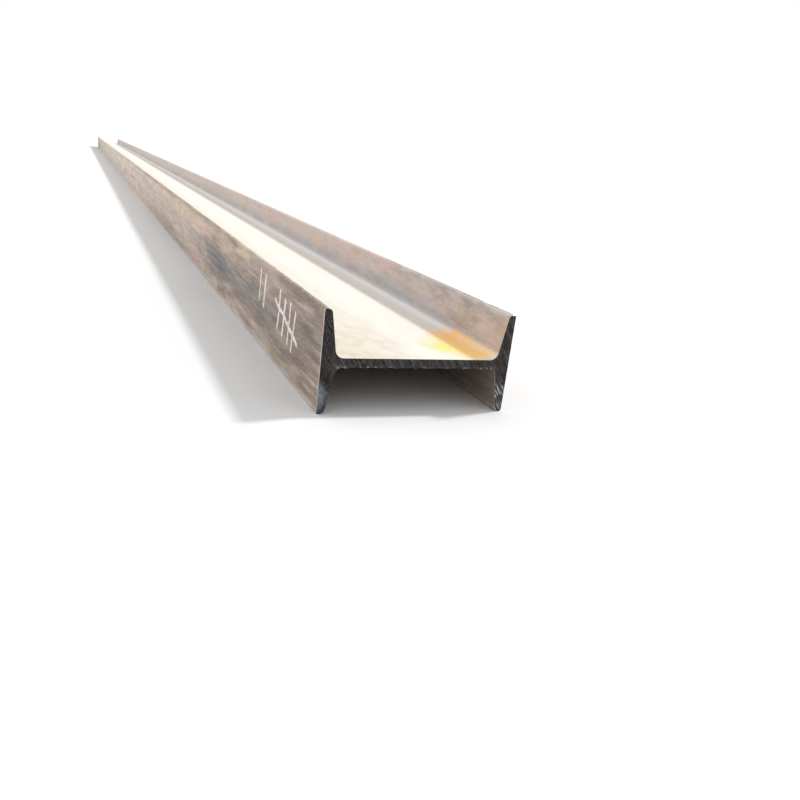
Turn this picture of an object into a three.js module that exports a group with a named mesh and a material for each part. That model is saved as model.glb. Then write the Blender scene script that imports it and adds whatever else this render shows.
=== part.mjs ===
// A hot-rolled steel beam with tapered flanges, one bar of stock, in millimetres.
//
// The bar lies on its side, as such bars are stacked: the web is level and the two flanges stand
// up at its left and right, so the section reads as a letter H. X runs across the depth of the
// section, Y along the bar and Z up. The origin is on the floor, under the middle of the bar.

import * as THREE from "three";

// The bar
const length = 9000; // stock length, between the two sawn ends
const depth = 220; // over the outer faces of the two flanges
const flangeWidth = 112;
const webThickness = 9.5;
const flangeThickness = 12.3; // halfway between the web and the toe
const flangeSlope = 1 / 6; // rise of a flange's inner face towards the web
const rootRadius = 9.5; // where the web meets a flange
const toeRadius = 4.8; // the inner corner of a flange's toe
const edgeRadius = 1.2; // the outer corner of a flange's toe, as it leaves the rolls
const arcDivisions = 6;

// The inner face of the right flange is a straight line across the section: at a height v over
// the middle of the web it lies at u = innerFaceAtWeb + flangeSlope * v.
const gaugeHeight = (flangeWidth + webThickness) / 4; // where flangeThickness is measured
const innerFaceAtWeb = depth / 2 - flangeThickness - flangeSlope * gaugeHeight;
const slopeAngle = Math.atan(flangeSlope);
const innerFaceAt = (v) => innerFaceAtWeb + flangeSlope * v;

// Centre of an arc at height v that touches the inner face of the right flange. Its radius
// counts as positive on the flange's side of that face, and as negative in the open trough.
function centreOnInnerFace(v, radius) {
  return new THREE.Vector2(innerFaceAt(v) + radius / Math.cos(slopeAngle), v);
}

// A quarter of the outline, from the web's upper face round the right flange's upper half:
// root fillet, inner face, toe radius, toe and outer corner. The straight stretches are the
// lines that join the arcs.
function quarterOutline() {
  const root = centreOnInnerFace(webThickness / 2 + rootRadius, -rootRadius);
  const toe = centreOnInnerFace(flangeWidth / 2 - toeRadius, toeRadius);
  const edge = new THREE.Vector2(depth / 2 - edgeRadius, flangeWidth / 2 - edgeRadius);
  const path = new THREE.Path();
  path.absarc(root.x, root.y, rootRadius, -Math.PI / 2, -slopeAngle, false);
  path.absarc(toe.x, toe.y, toeRadius, Math.PI - slopeAngle, Math.PI / 2, true);
  path.absarc(edge.x, edge.y, edgeRadius, Math.PI / 2, 0, true);
  return path.getPoints(arcDivisions);
}

// The points of an outline, mirrored and taken in the opposite order, so that they carry on
// where the outline stopped.
function mirrored(points, acrossU, acrossV) {
  return points.map((p) => new THREE.Vector2(p.x * acrossU, p.y * acrossV)).reverse();
}

// The whole section: one quarter, mirrored below the web, and both mirrored to the left.
function sectionShape() {
  const quarter = quarterOutline();
  const right = [...quarter, ...mirrored(quarter, 1, -1)];
  return new THREE.Shape([...right, ...mirrored(right, -1, 1)]);
}

// The bar: the section pushed along its length, then laid down so that its length runs along Y.
function beamGeometry() {
  const geometry = new THREE.ExtrudeGeometry(sectionShape(), {
    depth: length,
    bevelEnabled: false,
  });
  geometry.translate(0, 0, -length / 2);
  geometry.rotateX(Math.PI / 2);
  geometry.translate(0, 0, flangeWidth / 2);
  return geometry;
}

// Mill scale from the hot rolls under a thin bloom of rust
const millScale = new THREE.MeshStandardMaterial({
  color: 0x8d8074,
  roughness: 0.55,
  metalness: 0.7,
});

const beam = new THREE.Mesh(beamGeometry(), millScale);
beam.name = "rolled_beam";

const group = new THREE.Group();
group.add(beam);

export default group;
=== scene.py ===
# %% [markdown]
# # A rolled steel beam, lying on its side
#
# One bar of hot-rolled stock: a level web with a tapered flange standing up at each side. The
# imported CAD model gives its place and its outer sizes. This script makes the bar's skin and its
# sawn ends as one closed surface, and gives them mill scale, rust, dust, paint and saw marks.

# %% The frame
import math
from functools import partial

import bpy
import numpy as np
from mathutils import Matrix, Vector


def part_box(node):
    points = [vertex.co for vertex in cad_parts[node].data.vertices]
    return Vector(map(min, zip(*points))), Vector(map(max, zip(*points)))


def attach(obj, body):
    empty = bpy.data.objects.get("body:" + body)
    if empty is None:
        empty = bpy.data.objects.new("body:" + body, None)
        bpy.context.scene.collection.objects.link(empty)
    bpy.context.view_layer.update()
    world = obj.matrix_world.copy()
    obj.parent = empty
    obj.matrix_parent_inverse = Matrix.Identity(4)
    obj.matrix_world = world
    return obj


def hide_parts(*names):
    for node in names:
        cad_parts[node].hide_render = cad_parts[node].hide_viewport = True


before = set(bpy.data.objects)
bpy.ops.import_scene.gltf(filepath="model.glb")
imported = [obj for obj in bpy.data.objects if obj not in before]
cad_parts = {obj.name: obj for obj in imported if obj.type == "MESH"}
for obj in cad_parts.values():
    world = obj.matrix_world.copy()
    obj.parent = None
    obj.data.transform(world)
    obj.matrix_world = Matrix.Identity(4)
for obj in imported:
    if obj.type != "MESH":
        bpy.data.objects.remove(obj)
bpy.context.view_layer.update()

bar_low, bar_high = (np.array(corner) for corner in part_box("rolled_beam"))
depth, length, flange_width = bar_high - bar_low
near_end, far_end = bar_low[1], bar_high[1]
cut_at = {-1: near_end, 1: far_end}  # by the way that each sawn end faces along the bar
print(f"bar {length:.3f} m long, {depth:.3f} m deep, flanges {flange_width:.3f} m wide")

# %% [markdown]
# ## The section
#
# The rolls press the whole section at once. Its outer faces are flat. The inner ones lean by one
# in six, so that the rolls let go of the bar, and rounded roots and toes join them. One quarter
# of the outline is worked out, mirrored, and carried along the bar.
#
# Each stretch of the quarter is a line or an arc with a set number of edges. The outer face has
# points at the heights of the inner face, so that straight rows can fill a flange's sawn end.

# %% The sizes of the section, in metres
web_thickness = 0.0095
flange_thickness = 0.0123  # halfway between the web and the toe
flange_slope = 1 / 6
root_radius = 0.0095
toe_radius = 0.0048
edge_radius = 0.0012

half_depth = depth / 2
half_width = flange_width / 2
half_web = web_thickness / 2
slope_angle = math.atan(flange_slope)
gauge_height = (flange_width + web_thickness) / 4
inner_face_at_web = half_depth - flange_thickness - flange_slope * gauge_height
print(f"web {1000 * web_thickness:.1f} mm thick, flanges {1000 * flange_thickness:.1f} mm")

# %% The edges in each stretch of a quarter of the outline
WEB_EDGES = 48
ROOT_EDGES = 20
INNER_EDGES = 24
TOE_EDGES = 12
TIP_EDGES = 8
JOINT_EDGES = 8  # across the web, where it runs into a flange


def arc_centre(height, radius):
    """The centre, at that height, of an arc that touches the leaning inner face: the face's place
    at that height, moved sideways by the radius over the cosine of the slope."""
    across = inner_face_at_web + flange_slope * height + radius / math.cos(slope_angle)
    return np.array([across, height])


def arc(centre, radius, start, end, edges):
    """A circle's points, centre + radius * (cos a, sin a), as the angle a goes in even steps from
    start to end."""
    angle = np.linspace(start, end, edges + 1)
    return centre + radius * np.stack([np.cos(angle), np.sin(angle)], axis=1)


root_centre = arc_centre(half_web + root_radius, -root_radius)
toe_centre = arc_centre(half_width - toe_radius, toe_radius)
edge_centre = np.array([half_depth - edge_radius, half_width - edge_radius])
root = arc(root_centre, root_radius, -math.pi / 2, -slope_angle, ROOT_EDGES)
toe = arc(toe_centre, toe_radius, math.pi - slope_angle, math.pi / 2, TOE_EDGES)
edge = arc(edge_centre, edge_radius, math.pi / 2, 0, TOE_EDGES)
print(f"the inner face starts {1000 * root[-1, 1]:.1f} mm over the web's middle")

# %% The outline as one closed ring, clockwise as seen from the near end
def straight(start, end, edges):
    """A line's points in even steps, without the last one, which the next stretch starts with."""
    return np.linspace(start, end, edges, endpoint=False)


quarter = np.concatenate(
    [
        straight((0, half_web), root[0], WEB_EDGES),
        root[:-1],
        straight(root[-1], toe[0], INNER_EDGES),
        toe[:-1],
        straight(toe[-1], edge[0], TIP_EDGES),
        edge[:-1],
        straight(edge[-1], (half_depth, root[-1, 1]), INNER_EDGES),
        straight((half_depth, root[-1, 1]), (half_depth, half_web), ROOT_EDGES),
        straight((half_depth, half_web), (half_depth, 0), JOINT_EDGES // 2),
    ]
)
# Next comes the mirror image below the web, backwards, and then both, turned half a turn.
lower = (np.concatenate([quarter, [[half_depth, 0]]]) * [1, -1])[:0:-1]
half = np.concatenate([quarter, lower])
ring = np.concatenate([half, -half])
forward = np.roll(ring, -1, axis=0) - ring
tangent = np.roll(ring, -1, axis=0) - np.roll(ring, 1, axis=0)
tangent /= np.linalg.norm(tangent, axis=1, keepdims=True)
ring_normal = np.stack([-tangent[:, 1], tangent[:, 0]], axis=1)
edge_lengths = np.linalg.norm(forward, axis=1)
girth = edge_lengths.sum()
ring_place = np.concatenate([[0], np.cumsum(edge_lengths)[:-1]])
section_area = 0.5 * abs(np.sum(ring[:, 0] * forward[:, 1] - ring[:, 1] * forward[:, 0]))
print(f"{len(ring)} points round, girth {girth:.4f} m, section {1e4 * section_area:.2f} cm2")

# %% [markdown]
# ## Stations along the bar
#
# Near a sawn end there are burrs and dents of a millimetre or two, and in the middle mostly a
# slow sway. So the rings stand close together at the ends and spread out towards the middle, as a
# hyperbolic sine does: even steps at first, and then steps that grow with the distance. The last
# few centimetres use every point of the outline. Further in, every fourth is enough.

# %% Distances from a sawn end
FINE_RINGS = 12
COARSE_RINGS = 190
THINNING = 4  # one point of the outline is kept in this many
rim_width = 0.0004
fine_reach = 0.036
coarse_start = 0.045
even_reach = 0.25  # the steps are nearly even up to here

fine_distance = np.concatenate([[0], np.geomspace(rim_width, fine_reach, FINE_RINGS - 1)])
first_arc, last_arc = np.arcsinh(np.array([coarse_start, length / 2]) / even_reach)
coarse_distance = even_reach * np.sinh(np.linspace(first_arc, last_arc, COARSE_RINGS))
far_stations = (far_end - coarse_distance[:-1])[::-1]
coarse_stations = np.concatenate([near_end + coarse_distance, far_stations])
steps = np.diff(coarse_stations)
print(f"{len(coarse_stations)} rings, {1000 * steps.min():.1f} to {1000 * steps.max():.0f} mm apart")

# %% [markdown]
# ## What rolling and handling leave
#
# A rolled flange is never quite straight: its toes sway by a few tenths of a millimetre. Chains
# and other bars knock small dents into the toes. Both are worked out for all points at once, as
# a move along the outline's outward direction or sideways.

# %% The sway of the toes
SWAY = 0.0004
sway_lengths = [0.43, 0.71, 1.27, 2.1]
print(f"the toes sway by up to {1000 * SWAY:.1f} mm")


def chance_wave(place, wave_lengths, seed):
    """The mean of sine waves of the given lengths, each starting at a chance place."""
    starts = np.random.default_rng(seed).uniform(0, 2 * np.pi, len(wave_lengths))
    turns = 2 * np.pi * place[..., None] / wave_lengths
    return np.sin(turns + starts).mean(axis=-1)


def toe_sway(stations, outline):
    """How far each point moves sideways: one chance wave along the bar for each of the four toes,
    times the square of the point's height over the web as a share of the flange."""
    waves = np.stack([chance_wave(stations, sway_lengths, seed) for seed in range(4)], axis=1)
    toe_number = 2 * (outline[:, 0] > 0) + (outline[:, 1] > 0)
    return SWAY * waves[:, toe_number] * (outline[:, 1] / half_width) ** 2


# %% The dents in the toes
DENTS = 90
dent_depths = (0.0002, 0.0009)
dent_lengths = (0.003, 0.010)
dent_girth = 0.0022
toe_thickness = 0.007  # from a flange's outer face to the inner corner of its toe
dent_chance = np.random.default_rng(11)
dent_station = near_end + dent_chance.uniform(0, 1, DENTS) ** 2 * length
dent_depth = dent_chance.uniform(*dent_depths, DENTS)
dent_length = dent_chance.uniform(*dent_lengths, DENTS)
dent_side = dent_chance.choice([-1, 1], DENTS)
corner_x = dent_side * (half_depth - dent_chance.choice([0, toe_thickness], DENTS))
corner_z = dent_chance.choice([-1, 1], DENTS) * half_width
print(f"{DENTS} dents, at most {1000 * dent_depth.max():.1f} mm deep")


def toe_dents(stations, outline):
    """How far each point sinks in: for each dent its depth times a bell curve of the distance
    along the bar and a bell curve of the distance in the section, all dents added up."""
    along = np.exp(-(((stations[:, None] - dent_station) / dent_length) ** 2))
    gap = (outline[:, None, 0] - corner_x) ** 2 + (outline[:, None, 1] - corner_z) ** 2
    return along @ (dent_depth * np.exp(-gap / dent_girth**2)).T


# %% [markdown]
# A saw leaves its burr where the teeth come out: here along the underside of the web and on the
# right of each flange. It is a thin torn lip, so its height is a chance wave round the outline
# that never falls to nothing. The rest of the rim has a small worn bevel.

# %% The rim of a sawn end
BURR_HEIGHT = 0.0022
bevel = 0.0003
burr_reach = 0.0012
burr_lengths = [0.0046, 0.0071, 0.0113, 0.019]
usual_crest, least_crest = 0.6, 0.35  # shares of the burr's height
saw_exit = [0.35, -0.94]  # the way the teeth travel, across and up
floor_gap = 0.004


def burr_height(seed):
    """A chance wave round the outline, never below a third, times how far the outline faces the
    way the teeth come out, and nothing where the bar rests on the floor."""
    crests = np.clip(chance_wave(ring_place, burr_lengths, seed) + usual_crest, least_crest, 1)
    facing = np.clip(ring_normal @ saw_exit, 0, 1) ** 2
    clear = np.clip((ring[:, 1] + half_width - floor_gap) / floor_gap, 0, 1)
    return crests * facing * clear


print(f"burr up to {1000 * BURR_HEIGHT:.1f} mm, bevel {1000 * bevel:.1f} mm")

# %% The relief of a sawn face: how high, how long and with which seed
saw_waves = [
    (0.00010, [0.0061, 0.0093, 0.017], 21),
    (0.00005, [0.0023, 0.0031], 22),
]
print("saw waves in mm:", [1000 * high for high, _, _ in saw_waves])


def saw_relief(across, height):
    """How far the sawn face stands proud: shallow waves square to the saw's path, and finer ones
    on top."""
    path = across * saw_exit[0] + height * saw_exit[1]
    return sum(high * chance_wave(path, lengths, seed) for high, lengths, seed in saw_waves)


# %% The skin at any stations and any points of the outline
def skin_points(stations, picked, from_end=None, end_sign=0, burr=None):
    """The outline carried along the bar. Each point is its place in the outline, moved by the
    sway, by the dents and, close to a sawn end, by the bevel and the burr."""
    outline, normal = ring[picked], ring_normal[picked]
    outward = -toe_dents(stations, outline)
    y = np.repeat(stations[:, None], len(picked), axis=1)
    if from_end is not None:
        outward = outward - bevel * np.clip(1 - from_end / rim_width, 0, 1)[:, None]
        outward = outward + BURR_HEIGHT * burr * np.exp(-from_end / burr_reach)[:, None]
        at_cut = (from_end == 0)[:, None]
        y = y + at_cut * end_sign * saw_relief(outline[:, 0], outline[:, 1])
    x = outline[:, 0] + toe_sway(stations, outline) + outward * normal[:, 0]
    z = outline[:, 1] + outward * normal[:, 1] + half_width
    return np.stack([x, y, z], axis=-1)


# %% [markdown]
# ## The surface
#
# Every part of the surface is a grid of point numbers. A small store keeps the points and gives
# back their numbers, and each grid turns into four-sided faces. Grids that share numbers share
# points, so the whole surface is closed.

# %% A store for points and faces
kept_points = []
kept_faces = []


def keep_points(block):
    """Stores a block of points and returns their numbers in the block's own shape."""
    start = sum(len(points) for points in kept_points)
    kept_points.append(block.reshape(-1, 3))
    return start + np.arange(block[..., 0].size).reshape(block.shape[:-1])


def keep_grid(numbers, turned=False):
    """Stores one four-sided face for each cell of a grid of numbers."""
    a, b, c, d = numbers[:-1, :-1], numbers[:-1, 1:], numbers[1:, 1:], numbers[1:, :-1]
    cells = np.stack([a, b, c, d], axis=-1).reshape(-1, 4)
    kept_faces.append(cells[:, ::-1] if turned else cells)
    return len(cells)


def closed(numbers):
    """The grid with its first column again at its end, so that it goes all the way round."""
    return np.concatenate([numbers, numbers[:, :1]], axis=1)


# %% The long skin
every_point = np.arange(len(ring))
thinned = every_point[::THINNING]
skin = keep_points(skin_points(coarse_stations, thinned))
skin_faces = keep_grid(closed(skin))
print(f"long skin: {skin_faces} faces")

# %% The fine skin at each end, and the band that joins it to the long skin
def keep_fine_skin(end_sign, seed):
    """Stores the last few centimetres of skin before a cut, in order along the bar."""
    distance = fine_distance[::-end_sign]
    stations = cut_at[end_sign] - end_sign * distance
    return keep_points(skin_points(stations, every_point, distance, end_sign, burr_height(seed)))


def keep_joining_band(fine_ring, coarse_ring, turned):
    """Stores faces between a fine ring and one thinned to a fourth of its points: one edge of the
    coarse ring faces four edges of the fine one, so each face has seven sides."""
    groups = fine_ring.reshape(-1, THINNING)
    across = np.stack([np.roll(groups[:, 0], -1), np.roll(coarse_ring, -1), coarse_ring], axis=1)
    sides = np.concatenate([groups, across], axis=1)
    kept_faces.append(sides[:, ::-1] if turned else sides)
    return len(sides)


near_fine = keep_fine_skin(end_sign=-1, seed=31)
far_fine = keep_fine_skin(end_sign=1, seed=32)
fine_faces = keep_grid(closed(near_fine)) + keep_grid(closed(far_fine))
band_faces = keep_joining_band(near_fine[-1], skin[0], False)
band_faces += keep_joining_band(far_fine[0], skin[-1], True)
print(f"fine skin: {fine_faces} faces, joining bands: {band_faces}")

# %% [markdown]
# ## The sawn ends
#
# The end of an H cannot be one neat grid, but it is three: the web between its upper and lower
# sides, and each flange between its inner and outer side, with rows of points straight across.
# The web's last column is part of the flange's inner side, so the grids share it. The left flange
# is the right one turned half a turn, so its numbers are moved on by half a ring.

# %% Filling one sawn end
HALF_RING = len(ring) // 2
TIP_START = WEB_EDGES + ROOT_EDGES + INNER_EDGES + TOE_EDGES
TIP_END = TIP_START + TIP_EDGES


def ruled(first, second, rows, end_sign):
    """Rows of new points from one row of kept points to another, in even steps, with the saw's
    relief added. The kept ones are given by their numbers."""
    place = np.concatenate(kept_points)
    share = np.linspace(0, 1, rows + 1)[1:-1, None, None]
    flat = place[first] + share * (place[second] - place[first])
    relief = saw_relief(flat[..., 0], flat[..., 2] - half_width)
    flat[..., 1] = cut_at[end_sign] + end_sign * relief
    return flat


def keep_web_end(rim, end_sign):
    """Stores the sawn end of the web, and returns its grid of numbers from top to bottom."""
    around = np.arange(-WEB_EDGES, WEB_EDGES + 1)
    upper, lower = rim[around], rim[HALF_RING - around]
    middle = keep_points(ruled(upper, lower, JOINT_EDGES, end_sign))
    web = np.concatenate([upper[None], middle, lower[None]])
    keep_grid(web, end_sign < 0)
    return web


def keep_flange_end(side, joint, end_sign):
    """Stores the sawn end of a flange. Its numbers in the rim start at the middle of the web, and
    joint holds the web's column of numbers."""
    inner_half = np.arange(TIP_START, WEB_EDGES - 1, -1)
    inner = np.concatenate([side[inner_half], joint[1:-1], side[HALF_RING - inner_half[::-1]]])
    outer = side[TIP_END:HALF_RING - TIP_END + 1]
    middle = ruled(inner, outer, TIP_EDGES, end_sign)
    tip = np.arange(TIP_START + 1, TIP_END)
    rows = [side[tip][:, None], keep_points(middle[:, 1:-1]), side[HALF_RING - tip][:, None]]
    flange = np.concatenate([inner[None], np.concatenate(rows, axis=1), outer[None]])
    keep_grid(flange, end_sign > 0)


def keep_sawn_end(rim, end_sign):
    """Stores the points and faces inside one rim. The rim holds the numbers of its points."""
    web = keep_web_end(rim, end_sign)
    keep_flange_end(rim, web[:, -1], end_sign)
    keep_flange_end(np.roll(rim, -HALF_RING), web[::-1, 0], end_sign)


skin_face_total = skin_faces + fine_faces + band_faces
keep_sawn_end(near_fine[0], -1)
keep_sawn_end(far_fine[-1], 1)
print(f"sawn ends: {sum(len(faces) for faces in kept_faces) - skin_face_total} faces")

# %% One closed mesh
def add_object(name, data):
    """Puts a new object with that data in the scene, and hands it back."""
    made = bpy.data.objects.new(name, data)
    bpy.context.scene.collection.objects.link(made)
    return made


points = np.concatenate(kept_points)
face_list = [side for faces in kept_faces for side in faces.tolist()]
bar_mesh = bpy.data.meshes.new("rolled_bar")
bar_mesh.from_pydata(points, [], face_list)
bar_mesh.validate()
bar = add_object("rolled_bar", bar_mesh)

face_sizes = np.array([len(side) for side in face_list])
triangles = (face_sizes - 2).sum()
loop_edges = np.zeros(len(bar_mesh.loops), int)
bar_mesh.loops.foreach_get("edge_index", loop_edges)
open_edges = (np.bincount(loop_edges) != 2).sum()
print(f"{len(points)} points, {triangles} triangles, open edges: {open_edges}")

# %% [markdown]
# ## Where rust, dust and wear gather
#
# Some finishes follow the shape: dust lies on faces that look up, and rubbing brightens corners.
# These are measured once for every point and stored on the mesh, and the materials read them by
# name.

# %% Marks on the points
x, y, z = points.T
from_cut = length / 2 - np.abs(y)
height = z - half_width
toe_gap = half_width - np.abs(height)
face_gap = half_depth - np.abs(x)
over_web = height - half_web
slack = 0.0005
outer_layer = 0.005  # a point nearer than this to an outer face isn't in the trough
toe_middle = 0.006  # from the outer face
dust_line = 0.0035  # over the web
left_rub, right_rub = 0.6, 0.8


def fading(distance, reach):
    """One at no distance, falling by a bell curve to nearly nothing at twice the reach."""
    return np.exp(-((distance / reach) ** 2))


in_trough = (over_web > -slack) & (face_gap > outer_layer)
underneath = (over_web < -half_web) & (face_gap > outer_layer)
on_left_face = x < 2 * slack - half_depth
toe_corner = fading(toe_gap, reach=0.0014) * fading(face_gap, reach=0.0012)
# the left toes are rubbed less than the right: painted shade on the left side
toe_corner *= np.where(x < 0, left_rub, right_rub)
toe_arris = fading(toe_gap, reach=0.0022) * fading(face_gap - toe_middle, reach=0.004)
cut_rim = fading(from_cut, reach=np.where(on_left_face, 0.0036, 0.0009))
marks = {
    "rub": np.maximum.reduce([toe_corner, 0.7 * toe_arris, cut_rim]),
    "trough": in_trough * 1.0,
    "bed": in_trough * fading(over_web, reach=0.005),
    "root": in_trough * fading(over_web - dust_line, reach=0.0042),
    "wall": in_trough * np.clip(over_web / root_radius, 0, 1),
    "belt": fading(face_gap, reach=0.0006) * (1 - (height / half_width) ** 2),
    # painted shade: darker underneath and on the sunlit right outer face
    "painted_shade": np.where(underneath, 1.0, 0.7 * fading(half_depth - x, reach=0.0006)),
}
for name, values in marks.items():
    stored = bar_mesh.attributes.new(name, "FLOAT", "POINT")
    stored.data.foreach_set("value", values.astype(np.float32))
    print(f"{name}: {values.min():.2f} to {values.max():.2f}")

# %% [markdown]
# ## A flat map of the bar
#
# The export paints every material onto one square picture. A bar of nine metres would be a hair
# on it, so the map cuts the skin into three lengths, one above the other, with the nearest drawn
# larger. The two sawn ends lie side by side above them. Across a length the map follows the
# distance round the outline.

# %% The map's rows: from where to where along the bar, and up the map
map_rows = [(0.0, 1.8, 0.006, 0.350), (1.8, 5.4, 0.362, 0.590), (5.4, 9.0, 0.602, 0.830)]
row_slack = 0.09  # a face may reach this far past its row
map_edge = 0.004
end_low, end_scale = 0.842, 1.35

corner_point = np.zeros(len(bar_mesh.loops), int)
bar_mesh.loops.foreach_get("vertex_index", corner_point)
face_of_corner = np.repeat(np.arange(len(face_sizes)), face_sizes)
face_start = np.concatenate([[0], np.cumsum(face_sizes)[:-1]])
on_sawn_end = np.arange(len(face_sizes)) >= skin_face_total
print(f"{len(corner_point)} corners of faces to lay out")

# %% How far round the outline every point lies
point_place = np.zeros(len(points))
point_place[skin] = ring_place[thinned]
point_place[near_fine] = ring_place
point_place[far_fine] = ring_place
place_round = point_place[corner_point]
most_round = np.maximum.reduceat(place_round, face_start)[face_of_corner]
place_round = place_round + girth * (most_round - place_round > girth / 2)
along = (points[:, 1] - near_end)[corner_point]
middle_along = np.add.reduceat(along, face_start) / face_sizes
print(f"places round the outline up to {place_round.max():.3f} m")

# %% Laying out the map
bar_map = np.zeros((len(corner_point), 2))
for start, end, low, high in map_rows:
    in_row = (middle_along >= start) & (middle_along < end) & ~on_sawn_end
    chosen = in_row[face_of_corner]
    share = (along[chosen] - start + row_slack) / (end - start + 2 * row_slack)
    bar_map[chosen, 0] = map_edge + (1 - 2 * map_edge) * share
    bar_map[chosen, 1] = low + (high - low) * place_round[chosen] / girth
far_half = middle_along > length / 2
for sawn_middle, wanted in ((0.25, ~far_half), (0.75, far_half)):
    chosen = (wanted & on_sawn_end)[face_of_corner]
    bar_map[chosen, 0] = sawn_middle + end_scale * points[corner_point[chosen], 0]
    bar_map[chosen, 1] = end_low + end_scale * points[corner_point[chosen], 2]
bar_mesh.uv_layers.new(name="OFBake").data.foreach_set("uv", bar_map.ravel().astype(np.float32))
print(f"map from {bar_map.min(0).round(3)} to {bar_map.max(0).round(3)}")

# %% [markdown]
# ## Node helpers
#
# A material is a tree of nodes. These helpers add one node, or one small sum, to the tree that
# was started last, and hand back its output, so that a tree can be read like a sum.

# %% Helpers for node trees
trees = []


def add_node(kind, sockets=None, **settings):
    """Adds a node. Settings are its own properties. Sockets gives, by name or number, a value or
    the output to link."""
    made = trees[-1].nodes.new(kind)
    for name, value in settings.items():
        setattr(made, name, value)
    for name, value in (sockets or {}).items():
        if isinstance(value, bpy.types.NodeSocket):
            trees[-1].links.new(value, made.inputs[name])
        else:
            made.inputs[name].default_value = value
    return made


def tell(finish):
    """Prints how far the tree has grown once that finish is in it."""
    print(f"{finish}: {len(trees[-1].nodes)} nodes")


def calc(operation, *values):
    """One sum with numbers."""
    return add_node("ShaderNodeMath", dict(enumerate(values)), operation=operation).outputs[0]


def times(first, *others):
    """All the values multiplied."""
    for value in others:
        first = calc("MULTIPLY", first, value)
    return first


def add_up(total, *terms):
    """The total so far, and to it each term: a value times its weight."""
    for value, weight in terms:
        total = calc("MULTIPLY_ADD", value, weight, total)
    return total


def calc_vector(operation, *values):
    """One sum with vectors. It hands back a vector, or a number where the sum gives one."""
    made = add_node("ShaderNodeVectorMath", dict(enumerate(values)), operation=operation)
    gives_number = operation in ("LENGTH", "DISTANCE", "DOT_PRODUCT")
    return made.outputs["Value" if gives_number else "Vector"]


def between(value, none, full):
    """Nothing where the value is none, one where it is full, and a smooth change in between."""
    sockets = {"Value": value, "From Min": none, "From Max": full}
    made = add_node("ShaderNodeMapRange", sockets, interpolation_type="SMOOTHSTEP")
    return made.outputs["Result"]


def go_to(share, start, end):
    """The number start, moved towards the number end by that share."""
    return add_node("ShaderNodeMix", {0: share, 2: start, 3: end}).outputs[0]


def lay_over(colour, *layers):
    """The colour under layers. Each is a mask, a colour and the share it covers at most."""
    for mask, over, most in layers:
        sockets = {0: times(mask, most), 6: colour, 7: over}
        colour = add_node("ShaderNodeMix", sockets, data_type="RGBA").outputs[2]
    return colour


def shade(red, green, blue):
    """The light in a colour given as 0 to 255 on a screen: the share to the power 2.4 after an
    offset, and a straight line for the darkest."""
    share = np.array([red, green, blue]) / 255
    light = np.where(share > 0.04045, ((share + 0.055) / 1.055) ** 2.4, share / 12.92)
    return (*light.tolist(), 1)


# %% Helpers for node groups
def start_group(name, **inputs):
    """A node group that is given a point and the named inputs, each with a first value, and puts
    out a mask. It hands back the group and, by name, what the group is given."""
    kinds = {float: "NodeSocketFloat", tuple: "NodeSocketVector"}
    group = bpy.data.node_groups.new(name, "ShaderNodeTree")
    for socket, value in {"Point": (0, 0, 0), **inputs}.items():
        made = group.interface.new_socket(socket, in_out="INPUT", socket_type=kinds[type(value)])
        made.default_value = value
    group.interface.new_socket("Mask", in_out="OUTPUT", socket_type="NodeSocketFloat")
    trees.append(group)
    return group, add_node("NodeGroupInput").outputs


def end_group(mask):
    """Hands the mask to the group's output."""
    add_node("NodeGroupOutput", {"Mask": mask})
    tell(trees[-1].name)


def use(group, **sockets):
    """Places a node group in the tree with its own values, and hands back its mask."""
    return add_node("ShaderNodeGroup", sockets, node_tree=group).outputs["Mask"]


# %% Helpers for materials
MILLIMETRE = 0.001


def start_material(name):
    """A material with an empty tree to work in. It hands back the material, and the place of the
    point that is shaded, whole and as its numbers across, along and up."""
    material = bpy.data.materials.new(name)
    material.use_nodes = True
    material.node_tree.nodes.clear()
    trees.append(material.node_tree)
    point = add_node("ShaderNodeTexCoord").outputs["Object"]
    return material, point, add_node("ShaderNodeSeparateXYZ", {"Vector": point}).outputs


def end_material(colour, rough, metal, *reliefs):
    """Adds the shader. Its bump is the sum of the reliefs, each a pattern and its millimetres."""
    bump_sockets = {"Height": add_up(0, *reliefs), "Distance": MILLIMETRE, "Strength": 1}
    normal = add_node("ShaderNodeBump", bump_sockets).outputs["Normal"]
    sockets = {"Base Color": colour, "Roughness": rough, "Metallic": metal, "Normal": normal}
    shader = add_node("ShaderNodeBsdfPrincipled", sockets)
    add_node("ShaderNodeOutputMaterial", {"Surface": shader.outputs["BSDF"]})


# %% [markdown]
# ## Effects
#
# **Grain** is a chance pattern whose cells can be longer one way than another. Rolling draws
# everything on the bar out along its length, so most of its marks are grain with long cells.

# %% Grain
grain, given = start_group("grain", Cells=(50, 50, 50), Seed=0.0, Detail=4.0, Low=0.4, High=0.6)
stretched = calc_vector("MULTIPLY_ADD", given["Point"], given["Cells"], given["Seed"])
cloud_sockets = {"Vector": stretched, "Scale": 1, "Detail": given["Detail"], "Roughness": 0.58}
cloud = add_node("ShaderNodeTexNoise", cloud_sockets)
end_group(between(cloud.outputs["Fac"], none=given["Low"], full=given["High"]))

# %% [markdown]
# **Freckles** are round spots of many sizes, such as the pits that rust eats into the skin. Space
# is split into cells, and each cell's spot reaches a chance share of the way out.

# %% Freckles
freckles, given = start_group("freckles", Cells=(150, 150, 150), Seed=0.0, Reach=0.5)
stretched = calc_vector("MULTIPLY_ADD", given["Point"], given["Cells"], given["Seed"])
cells = add_node("ShaderNodeTexVoronoi", {"Vector": stretched, "Scale": 1})
chance = add_node("ShaderNodeSeparateColor", {"Color": cells.outputs["Color"]})
spot = times(chance.outputs["Red"], given["Reach"])
end_group(between(cells.outputs["Distance"], none=spot, full=times(spot, 0.5)))

# %% [markdown]
# **Scratches** are thin straight lines one way. Grain is turned, drawn out very long, and only
# its highest crests are kept.

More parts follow.
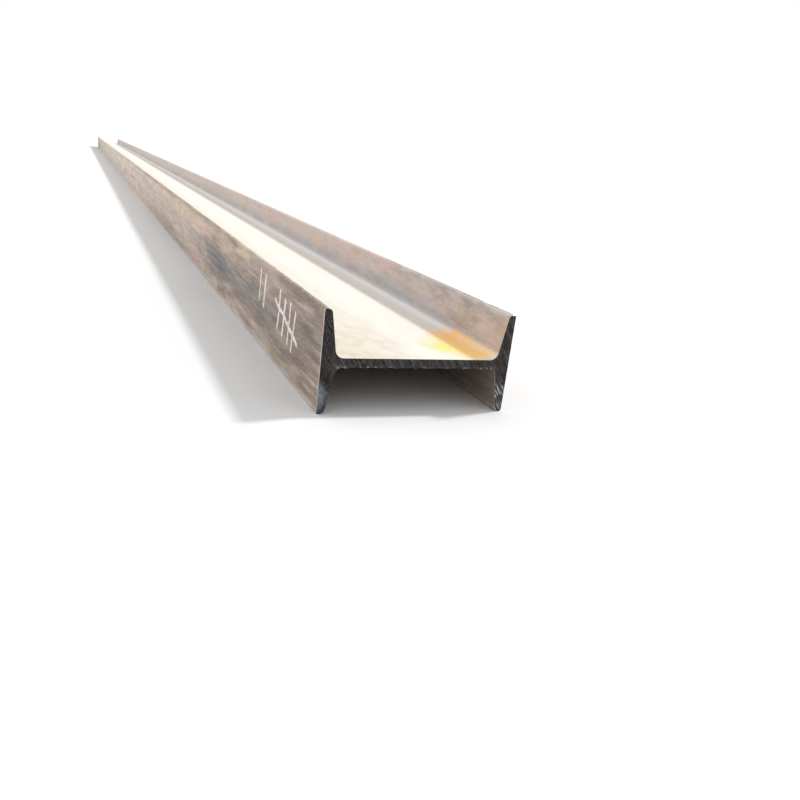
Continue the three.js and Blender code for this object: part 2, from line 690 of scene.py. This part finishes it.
# %% Scratches
ALONG_BAR = (0, 1, 0)
scratches, given = start_group(
    "scratches", Angle=0.0, Cells=(900, 60, 60), Seed=0.0, Crest=0.62, Width=0.05
)
turn_sockets = {"Vector": given["Point"], "Axis": ALONG_BAR, "Angle": given["Angle"]}
turned = add_node("ShaderNodeVectorRotate", turn_sockets).outputs["Vector"]
crests = {"Low": given["Crest"], "High": calc("ADD", given["Crest"], given["Width"])}
end_group(use(grain, Point=turned, Cells=given["Cells"], Seed=given["Seed"], Detail=0, **crests))

# %% [markdown]
# **A patch** is a soft-edged stain: sprayed paint, or a place where the scale looks different.
# It is the distance from its centre as a share of its reach, roughened by grain.

# %% Patches
patch, given = start_group(
    "patch", Centre=(0, 0, 0), Reach=(0.1, 0.1, 0.1), Ragged=0.4, Cells=(60, 60, 60), Fringe=0.4
)
from_centre = calc_vector("SUBTRACT", given["Point"], given["Centre"])
distance = calc_vector("LENGTH", calc_vector("DIVIDE", from_centre, given["Reach"]))
rough_edge = use(grain, Point=given["Point"], Cells=given["Cells"], Low=0.2, High=0.8)
distance = add_up(distance, (rough_edge, given["Ragged"]))
end_group(between(distance, none=1, full=calc("SUBTRACT", 1, given["Fringe"])))

# %% [markdown]
# **A chalk stroke** is all that lies within its reach of a line from one point to another. Chalk
# only takes on the high spots, so grain breaks it up, and a little noise added to the place makes
# the line waver as a hand does.

# %% Chalk strokes
WAVER = (0, 0.011, 0.006)  # metres along the bar and upwards
stroke, given = start_group("chalk stroke", From=(0, 0, 0), To=(0, 0, 0.1), Reach=0.0015)
noise = add_node("ShaderNodeTexNoise", {"Vector": given["Point"], "Scale": 36})
off_middle = calc_vector("SUBTRACT", noise.outputs["Color"], (0.5, 0.5, 0.5))
drawn = calc_vector("MULTIPLY_ADD", off_middle, WAVER, given["Point"])
from_start = calc_vector("SUBTRACT", drawn, given["From"])
line = calc_vector("SUBTRACT", given["To"], given["From"])
along_line = calc_vector("DOT_PRODUCT", from_start, line)
line_square = calc_vector("DOT_PRODUCT", line, line)
share = calc("DIVIDE", along_line, line_square)
share.node.use_clamp = True  # the line ends at its two points
foot = calc_vector("MULTIPLY", line, share)
off_line = calc_vector("DISTANCE", from_start, foot)
within = between(off_line, none=times(given["Reach"], 1.5), full=times(given["Reach"], 0.5))
high_spots = use(grain, Point=given["Point"], Cells=(500, 300, 300), Low=0.3, High=0.5)
end_group(times(within, high_spots))

# %% [markdown]
# **Rubbed edges** start from a mark stored on the points, and grain makes them come and go.

# %% Rubbed edges
LEAST_MARK = 0.02
rubbed, given = start_group("rubbed edge", Mark=0.0, Cells=(90, 60, 90), Low=0.5, High=0.9)
patchy = use(grain, Point=given["Point"], Cells=given["Cells"], Low=0.3, High=0.7)
raised = add_up(given["Mark"], (patchy, 0.5))
above = times(raised, calc("GREATER_THAN", given["Mark"], LEAST_MARK))
end_group(between(above, none=given["Low"], full=given["High"]))

# %% [markdown]
# ## The rolled skin
#
# Hot steel leaves the rolls under a blue-grey scale. Out in a yard the scale turns brown from the
# toes inwards, and stays longest along the middle of the outer faces. Towards the sawn ends the
# bar is darker from handling. Far from them the rust is paler: partly a pale bloom on it, partly a
# painted sheen and haze. Long thin streaks of old scale lie in it.
#
# A painted picture of nine metres would be coarse close by. So the finish is built up in layers
# instead: each one is a colour laid over those before it, as far as a mask allows. The masks are
# long grain, the place on the bar, and the marks on its points.

# %% Colours of the rusting scale
umber_rust = shade(110, 89, 76)
tan_rust = shade(216, 191, 163)
ashen_rust = shade(212, 193, 180)
pink_rust = shade(212, 172, 166)
red_rust = shade(130, 86, 72)
golden_rust = shade(204, 178, 116)
olive_rust = shade(150, 148, 118)
grey_scale = shade(72, 79, 84)
dark_scale = shade(84, 70, 60)
pale_bloom_and_sheen = shade(228, 211, 194)
print(f"tan rust gives back {tan_rust[0]:.2f} of red light")

# %% Where a point of the skin lies
skin_material, point, (across, along, up) = start_material("rolled_skin")
to_cut = calc("SUBTRACT", length / 2, calc("ABSOLUTE", along))
mark = {name: add_node("ShaderNodeAttribute", attribute_name=name).outputs["Fac"] for name in marks}
# partial gives a helper some of its values beforehand: here the group and the point
skin_grain = partial(use, grain, Point=point)
skin_patch = partial(use, patch, Point=point)
print(f"the skin reads {len(mark)} marks")

# %% From the dark rust at the ends to the tan rust along the bar
upper_part = between(up, none=0.060, full=0.094)
top_toe = between(up, none=0.076, full=0.106)
low_toe = between(up, none=0.038, full=0.004)
aged_above = between(to_cut, none=0.05, full=0.62)
aged_below = between(to_cut, none=0.45, full=1.25)
aged = go_to(upper_part, aged_below, aged_above)
near_cut = times(between(to_cut, none=0.16, full=0.02), upper_part)
inland = between(to_cut, none=0.6, full=1.3)
long_streaks = skin_grain(Seed=3, Cells=(60, 1.6, 60), Detail=6, Low=0.3, High=0.7)
blotches = skin_grain(Seed=5, Cells=(66, 9, 66), Low=0.36, High=0.64)
wide_clouds = skin_grain(Seed=9, Cells=(22, 1.3, 22), Detail=3, Low=0.36, High=0.64)
tan_share = add_up(
    times(aged, 0.74),
    (long_streaks, 0.46),
    (top_toe, 0.12),
    (low_toe, 0.62),
    (calc("SUBTRACT", blotches, 0.7), go_to(inland, 0.66, 0.15)),
    (calc("SUBTRACT", wide_clouds, 0.5), 0.3),
    (near_cut, -0.1),
    # more tan far from the ends: partly painted sheen and haze
    (between(to_cut, none=0.9, full=2.2), 0.13),
)
tan_share = calc("MINIMUM", calc("MAXIMUM", tan_share, 0), 1)
pale_rust = lay_over(ashen_rust, (upper_part, tan_rust, 1))
# paler far from the ends: a pale bloom, and partly a painted sheen and haze
bloom_and_sheen_share = between(to_cut, none=1.2, full=3.8)
colour = lay_over(umber_rust, (tan_share, pale_rust, 1), (bloom_and_sheen_share, pale_bloom_and_sheen, 1))
tell("umber and tan rust")

# %% Pink, red, olive and golden rust: cells, seed, least and full grain, most cover and where
young = add_up(1, (aged, -0.65))
rust_kinds = [
    (pink_rust, (30, 5, 30), 15, 0.50, 0.62, 0.6, go_to(aged, 0.6, 1)),
    (red_rust, (48, 18, 48), 7, 0.52, 0.72, 0.6, young),
    (olive_rust, (54, 9, 54), 17, 0.53, 0.68, 0.5, go_to(inland, 1, 0.6)),
    (golden_rust, (130, 5, 130), 13, 0.54, 0.70, 0.5, 1),
]
for rust_colour, rust_cells, seed, low, high, most, where in rust_kinds:
    rust = skin_grain(Seed=seed, Cells=rust_cells, Detail=5, Low=low, High=high)
    colour = lay_over(colour, (times(rust, where), rust_colour, most))
tell("four kinds of rust")

# %% Blue-grey scale that is left
scale_streaks = skin_grain(Seed=21, Cells=(38, 3.5, 38), Detail=6, Low=0.42, High=0.62)
drawn_scale = skin_grain(Seed=23, Cells=(140, 1.1, 140), Low=0.46, High=0.66)
colour = lay_over(
    colour,
    (times(scale_streaks, mark["belt"], young), grey_scale, 0.57),
    (times(drawn_scale, inland), grey_scale, 0.26),
)
tell("scale that is left")

# %% [markdown]
# Close by, rusting scale is mottled: a dark speckle where it still holds, flecks drawn out by the
# rolls, round pits, and a pale bloom on top. One fine grain would look like even noise, so there
# are several, each with its own cell size. The flecks are strongest near the sawn ends.

# %% Speckle, flecks, pits and bloom
speckle = skin_grain(Seed=29, Cells=(400, 190, 400), Low=0.3, High=0.7)
flecks = skin_grain(Seed=33, Cells=(110, 12, 110), Detail=2, Low=0.5, High=0.7)
light_flecks = skin_grain(Seed=35, Cells=(120, 10, 120), Detail=2, Low=0.5, High=0.7)
pits = use(freckles, Point=point, Cells=(170, 90, 170), Seed=31, Reach=0.3)
rolling_lines = skin_grain(Seed=37, Cells=(700, 2.5, 700), Detail=3, Low=0.35, High=0.65)
colour = lay_over(
    colour,
    (calc("SUBTRACT", 1, speckle), dark_scale, 0.36),
    (speckle, pale_bloom_and_sheen, 0.2),
    (flecks, dark_scale, go_to(aged, 0.5, 0.28)),
    (light_flecks, pale_bloom_and_sheen, go_to(aged, 0.36, 0.24)),
    (pits, dark_scale, 0.3),
    (rolling_lines, pale_bloom_and_sheen, 0.1),
)
tell("mottling")

# %% [markdown]
# Some stains are one of a kind: a dark band where bars lay against each other, a bare place, the
# end that hands and slings have darkened. With them goes painted shade over the lower half of the
# flange. Chance can't be asked to put them there, so each is a patch with its own place. They lie
# over the mottling, or the bloom would lift them again, and thin streaks of the skin show through
# them.

# %% Stains, and painted shade low down, on the left outer face: colour, cover, place and reach, along and up
handled_rust = shade(94, 83, 78)
young_rust = shade(168, 138, 124)
outer_stains = [
    ("dark band", grey_scale, 0.36, (0.380, 0.056), (0.720, 0.044)),
    # painted shade: the lower half of the flange darker along its first metres
    ("low shade", umber_rust, 0.42, (1.450, 0.006), (1.250, 0.056)),
    ("red bloom", young_rust, 0.40, (0.600, 0.096), (0.360, 0.060)),
    ("bare scale", grey_scale, 0.72, (0.640, 0.058), (0.180, 0.060)),
    ("handled end", handled_rust, 0.55, (0.030, 0.062), (0.260, 0.066)),
    ("flaked toe", red_rust, 0.60, (0.495, 0.107), (0.060, 0.026)),
    ("scaled toe", umber_rust, 0.50, (1.500, 0.112), (4.400, 0.016)),
]
stain_streaks = skin_grain(Seed=51, Cells=(110, 5, 110), Detail=3, Low=0.34, High=0.66)
streaky = times(go_to(speckle, 1.2, 0.8), go_to(stain_streaks, 1.35, 0.6))
outer_patch = partial(skin_patch, Ragged=0.5, Cells=(60, 8, 60), Fringe=0.7)
for stain_name, stain_colour, cover, (stain_y, stain_z), (reach_y, reach_z) in outer_stains:
    stain_place = (-half_depth, near_end + stain_y, stain_z)
    outer_stain = outer_patch(Centre=stain_place, Reach=(0.03, reach_y, reach_z))
    colour = lay_over(colour, (times(outer_stain, streaky), stain_colour, cover))
    tell(stain_name)

# %% [markdown]
# ## Dust in the trough
#
# The bar lies like a gutter: fine dust washes down the inner faces, thins out on the walls and
# dries on the web, palest at the roots, where the pale line along the right root is also a painted
# highlight. The underside is darker, as painted shade. A mask that only asked which way a face
# looks would break off at the root fillets, so the dust reads the marks instead.

# %% Dust on the inner faces
wall_dust = shade(198, 190, 187)
rosy_dust = shade(203, 182, 178)
wash = skin_grain(Seed=43, Cells=(90, 26, 90), Detail=5, Low=0.36, High=0.64)
wall_share = times(mark["wall"], go_to(wash, 0.42, 0.86))
wall_tint = skin_grain(Seed=45, Cells=(40, 14, 40), Detail=3, Low=0.42, High=0.6)
mixed_dust = lay_over(wall_dust, (wall_tint, rosy_dust, 1))
colour = lay_over(colour, (wall_share, mixed_dust, 1))
tell("dust on the walls")

# %% Painted shade and blue sky reflection low on the walls, and rust at the near end of the right one
# painted light: a darker, bluer band at the foot of the walls, shade with a reflection of the sky
painted_sky_reflection = shade(150, 160, 170)
russet_rust = shade(196, 160, 128)
reflection_low = between(up, none=0.065, full=0.069)
reflection_high = between(up, none=0.094, full=0.068)
reflection_end = between(to_cut, none=0.07, full=0.16)
reflection_breaks = skin_grain(Seed=47, Cells=(40, 8, 40), Low=0.3, High=0.56)
shade_and_sky_reflection = times(reflection_low, reflection_high, reflection_end, reflection_breaks, mark["wall"])
colour = lay_over(colour, (shade_and_sky_reflection, painted_sky_reflection, 0.8))
end_stains = [
    (russet_rust, 0.6, (0.100, near_end, 0.088), (0.06, 0.066, 0.07)),
    (olive_rust, 0.5, (0.100, near_end + 0.085, 0.088), (0.06, 0.060, 0.030)),
]
wall_patch = partial(skin_patch, Ragged=0.8, Cells=(130, 90, 130), Fringe=0.7)
for stain_colour, cover, centre, reach in end_stains:
    end_stain = times(wall_patch(Centre=centre, Reach=reach), mark["wall"])
    colour = lay_over(colour, (end_stain, stain_colour, cover))
tell("shine and stains on the walls")

# %% Dust on the web
pale_dust_and_highlight = shade(234, 230, 230)
yard_dust = shade(206, 205, 192)
stained_dust_and_edge_tint = shade(190, 169, 138)
clouds = skin_grain(Seed=41, Cells=(60, 40, 60), Detail=6, Low=0.3, High=0.68)
web_top = half_width + half_web
near_left = skin_patch(
    Centre=(-0.1, near_end, web_top), Reach=(0.18, 0.42, 0.05), Ragged=0.6,
    Cells=(50, 22, 50), Fringe=0.95,
)
smudge = skin_patch(
    Centre=(-0.03, near_end + 0.745, web_top), Reach=(0.16, 0.055, 0.05), Ragged=0.7,
    Cells=(30, 22, 30), Fringe=0.9,
)
to_near_end = between(along, none=near_end + 0.4, full=near_end)
stain = add_up(times(to_near_end, 0.2), (near_left, 0.7), (smudge, 0.35))
stain = times(calc("ADD", stain, 0.08), go_to(clouds, 1.35, 0.5))
dust_colour = lay_over(yard_dust, (stain, stained_dust_and_edge_tint, 1))
dust = times(mark["bed"], go_to(clouds, 0.9, 1))
colour = lay_over(colour, (dust, dust_colour, 1))
tell("dust on the web")

# %% Dust and a painted highlight at the roots, a painted tint at the sun's shadow edge, and painted shade
# painted light: a tan tint along the edge of the sun's shadow on the web
edge_tint_in = between(across, none=0.056, full=0.066)
edge_tint_out = between(across, none=0.080, full=0.070)
shadow_edge_tint = times(edge_tint_in, edge_tint_out, mark["bed"], go_to(clouds, 0.55, 0.2))
# stronger on the right, where the pale root line is also a painted highlight
root_cover = go_to(between(across, none=-0.02, full=0.02), 0.35, 0.85)
colour = lay_over(colour, (shadow_edge_tint, stained_dust_and_edge_tint, 1), (mark["root"], pale_dust_and_highlight, root_cover))
underside_shade_colour = shade(104, 92, 84)  # painted shade: darker underneath, and on the sunlit right outer face
colour = lay_over(colour, (mark["painted_shade"], underside_shade_colour, 0.6))
tell("dust at the roots and covered scale")

# %% [markdown]
# ## Paint and chalk
#
# A few puffs of spray paint in the near right root mark the bar for the yard: orange and golden
# patches that run into each other and stay off the wall. Where the sun falls on the orange paint a
# lemon patch paints its sunlit look. Chalk strokes on the left flange count something off: four
# and one across, and two more.

# %% Paint
orange_paint = shade(255, 194, 108)
golden_paint = shade(250, 202, 112)
# painted light: the orange paint as it looks in the sun
sunlit_orange_paint = shade(196, 206, 114)
dabs = [
    (sunlit_orange_paint, 0.85, (0.053, near_end + 0.056, web_top), (0.046, 0.066, 0.04)),
    (golden_paint, 0.95, (0.080, near_end + 0.042, web_top), (0.056, 0.120, 0.06)),
    (orange_paint, 0.95, (0.081, near_end + 0.096, web_top), (0.050, 0.076, 0.05)),
]
in_bed = times(between(up, none=0.071, full=0.0645), mark["trough"])
dab_patch = partial(skin_patch, Cells=(90, 75, 90), Fringe=0.85)
paint = 0
for dab_colour, cover, centre, reach in dabs:
    dab = times(dab_patch(Centre=centre, Reach=reach), in_bed)
    colour = lay_over(colour, (dab, dab_colour, cover))
    paint = calc("MAXIMUM", dab, paint)
tell(f"{len(dabs)} dabs of paint")

# %% Chalk strokes: from, to and reach
chalk_white = shade(246, 240, 232)
stroke_ends = [
    ((0.108, 0.082), (0.116, 0.036), 0.0029),
    ((0.132, 0.087), (0.138, 0.040), 0.0026),
    ((0.157, 0.086), (0.161, 0.044), 0.0030),
    ((0.183, 0.092), (0.186, 0.046), 0.0026),
    ((0.093, 0.049), (0.205, 0.078), 0.0025),
    ((0.262, 0.097), (0.270, 0.056), 0.0031),
    ((0.291, 0.099), (0.297, 0.060), 0.0027),
]
chalk = 0
for (from_y, from_z), (to_y, to_z), stroke_reach in stroke_ends:
    stroke_start = (-half_depth, near_end + from_y, from_z)
    stroke_end = (-half_depth, near_end + to_y, to_z)
    one_stroke = use(stroke, Point=point, From=stroke_start, To=stroke_end, Reach=stroke_reach)
    chalk = calc("MAXIMUM", one_stroke, chalk)
colour = lay_over(colour, (chalk, chalk_white, 0.92))
tell(f"{len(stroke_ends)} strokes of chalk")

# %% [markdown]
# ## Bare edges, and the shader
#
# Where slings and other bars rub, the toes and the rims of the sawn ends are bare and bright.
# Steel shows there as metal. Scale is duller, and dust, paint and chalk aren't metal at all, so
# one mask for all that is matt sets both the roughness and how metallic the skin is. The height
# of the layers, in millimetres, adds up to one bump.

# %% Rubbed toes and rims, and the skin's shader
bright_steel = shade(206, 198, 192)
low_rim = between(up, none=0.0085, full=0.0035)
bright = use(rubbed, Point=point, Mark=mark["rub"], Low=0.7, High=1.25)
colour = lay_over(colour, (low_rim, pale_dust_and_highlight, 0.32), (bright, bright_steel, 0.7))
matt = calc("MAXIMUM", dust, calc("MAXIMUM", paint, chalk))
reliefs = (speckle, 0.05), (pits, -0.10), (flecks, -0.06), (rolling_lines, 0.02), (dust, 0.06)
rough = go_to(matt, go_to(bright, 0.5, 0.36), 0.95)
metal = go_to(matt, go_to(bright, 0.25, 0.85), 0)
end_material(colour, rough, metal, *reliefs)
tell("rolled skin")

# %% [markdown]
# ## The sawn ends' steel
#
# The saw leaves dark, burnt steel with bright scores where the last teeth dragged. Most of them
# cross the lower half of the right flange and the lower edge of the web, where the teeth came out.
# The left flange's lower toe has run blue with heat. The scores are a group of their own, placed
# three times: sharp ones, faint ones all over and short specks along the burr.

# %% The sawn steel's colours, its ground and its two lower toes
burnt_steel = shade(32, 27, 25)
worn_steel = shade(58, 53, 51)
gritty_steel = shade(112, 106, 104)
blued_steel = shade(114, 120, 130)
scored_steel = shade(214, 220, 226)
sawn_material, point, (across, _, up) = start_material("sawn_steel")
sawn_grain = partial(use, grain, Point=point)
cloudy = sawn_grain(Seed=2, Cells=(170, 120, 130), Detail=5, Low=0.4, High=0.66)
left_flange = between(across, none=-0.096, full=-0.100)
toe_patch = partial(use, patch, Point=point, Cells=(160, 160, 160), Fringe=0.7)
left_toe = toe_patch(Centre=(-half_depth, near_end, 0.018), Reach=(0.018, 1, 0.026))
right_toe = toe_patch(Centre=(half_depth - 0.008, near_end, 0.014), Reach=(0.02, 99, 0.038))
blued = calc("MAXIMUM", left_toe, times(right_toe, 0.12))
colour = lay_over(
    burnt_steel, (cloudy, worn_steel, 1), (left_flange, burnt_steel, 0.6), (blued, blued_steel, 1)
)
tell("burnt and blued steel")

# %% Scores, and the sawn steel's shader
score_angle = math.radians(35)  # from upright, leaning to the left at the top
score = partial(use, scratches, Point=point, Angle=score_angle)
scores = score(Cells=(800, 60, 40), Seed=18, Crest=0.60, Width=0.06)
faint_scores = score(Cells=(640, 60, 26), Seed=9, Crest=0.42, Width=0.26)
burr_specks = score(Cells=(380, 60, 60), Seed=14, Crest=0.58, Width=0.10)
web_bottom = half_width - half_web
under_web = between(calc("ABSOLUTE", across), none=0.094, full=0.088)
web_edge = between(up, none=web_bottom + 0.0014, full=web_bottom - 0.0004)
web_edge = times(web_edge, under_web)
score_share = times(scores, add_up(0.045, (right_toe, 0.62)))
score_share = calc("MAXIMUM", score_share, times(burr_specks, web_edge, 0.38))
grit = sawn_grain(Seed=6, Cells=(520, 60, 420), Detail=2, Low=0.5, High=0.7)
colour = lay_over(
    colour,
    (grit, gritty_steel, 0.3),
    (faint_scores, scored_steel, go_to(left_flange, 0.045, 0.03)),
    (score_share, scored_steel, 1),
)
rough = go_to(score_share, 0.5, 0.3)
end_material(colour, rough, 0.8, (scores, -0.05), (faint_scores, 0.03))
tell("sawn steel")

# %% [markdown]
# ## Dressing the bar
#
# The skin and the sawn ends are one mesh with two materials. Shading is smooth, so the arcs of the
# section look round, and it breaks wherever two faces meet at more than forty degrees: round the
# rims of the sawn ends. The dressed bar stands in for the CAD bar and rides on the same body.

# %% Dressing the bar
bar_mesh.materials.append(skin_material)
bar_mesh.materials.append(sawn_material)
bar_mesh.polygons.foreach_set("material_index", on_sawn_end.astype(np.int32))
bar_mesh.shade_smooth()
bar_mesh.set_sharp_from_angle(angle=math.radians(40))
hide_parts("rolled_beam")
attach(bar, "root")
print(f"{on_sawn_end.sum()} of {len(face_list)} faces are sawn steel")

# %% [markdown]
# ## Floor, light and camera
#
# The bar lies on a wide pale floor in an even white room, which lights it from all sides. A large
# soft sun from the right and above makes the web bright and leaves the left flange in shade. The
# camera stands close to the near end, so the bar runs away from it to the upper left.

# %% The floor
floor_size = 120
floor_mesh = bpy.data.meshes.new("floor")
floor_corners = floor_size / 2 * np.array([[-1, -1, 0], [1, -1, 0], [1, 1, 0], [-1, 1, 0]])
floor_mesh.from_pydata(floor_corners.tolist(), [], [(0, 1, 2, 3)])
floor = add_object("floor", floor_mesh)

floor_material = bpy.data.materials.new("pale_floor")
floor_material.use_nodes = True
floor_look = {"Base Color": (0.69, 0.69, 0.69, 1), "Roughness": 0.9, "Specular IOR Level": 0}
for name, value in floor_look.items():
    floor_material.node_tree.nodes["Principled BSDF"].inputs[name].default_value = value
floor_mesh.materials.append(floor_material)
print(f"a floor {floor_size} m wide")

# %% The light
world = bpy.data.worlds.new("white_room")
world.use_nodes = True
background = world.node_tree.nodes["Background"].inputs
background["Color"].default_value = (1, 1, 1, 1)
background["Strength"].default_value = 1
bpy.context.scene.world = world

key_direction = Vector((1, 0.25, 1.31))  # from the bar towards the light
key_light = bpy.data.lights.new("key", "SUN")
key_light.energy = 2.2
key_light.angle = math.radians(7)
key = add_object("key", key_light)
key.matrix_world = key_direction.to_track_quat("Z", "Y").to_matrix().to_4x4()
print(f"a sun {math.degrees(key_light.angle):.0f} degrees wide")

# %% The camera
camera_place = Vector((-0.3352, near_end - 0.708, half_width + 0.2028))
heading = math.radians(24.181)  # from along the bar towards its right
tilt = math.radians(17.455)  # below level
roll = math.radians(7.085)
focal_pixels = 755.8
frame_pixels = 800

camera_data = bpy.data.cameras.new("camera")
camera_data.sensor_width = 36
camera_data.lens = camera_data.sensor_width * focal_pixels / frame_pixels
camera_data.clip_end = 500
camera = add_object("camera", camera_data)
camera.matrix_world = (
    Matrix.Translation(camera_place)
    @ Matrix.Rotation(-heading, 4, "Z")
    @ Matrix.Rotation(math.pi / 2 - tilt, 4, "X")
    @ Matrix.Rotation(roll, 4, "Z")
)
bpy.context.scene.camera = camera
bpy.context.scene.view_settings.view_transform = "Standard"
print(f"a lens of {camera_data.lens:.1f} mm")
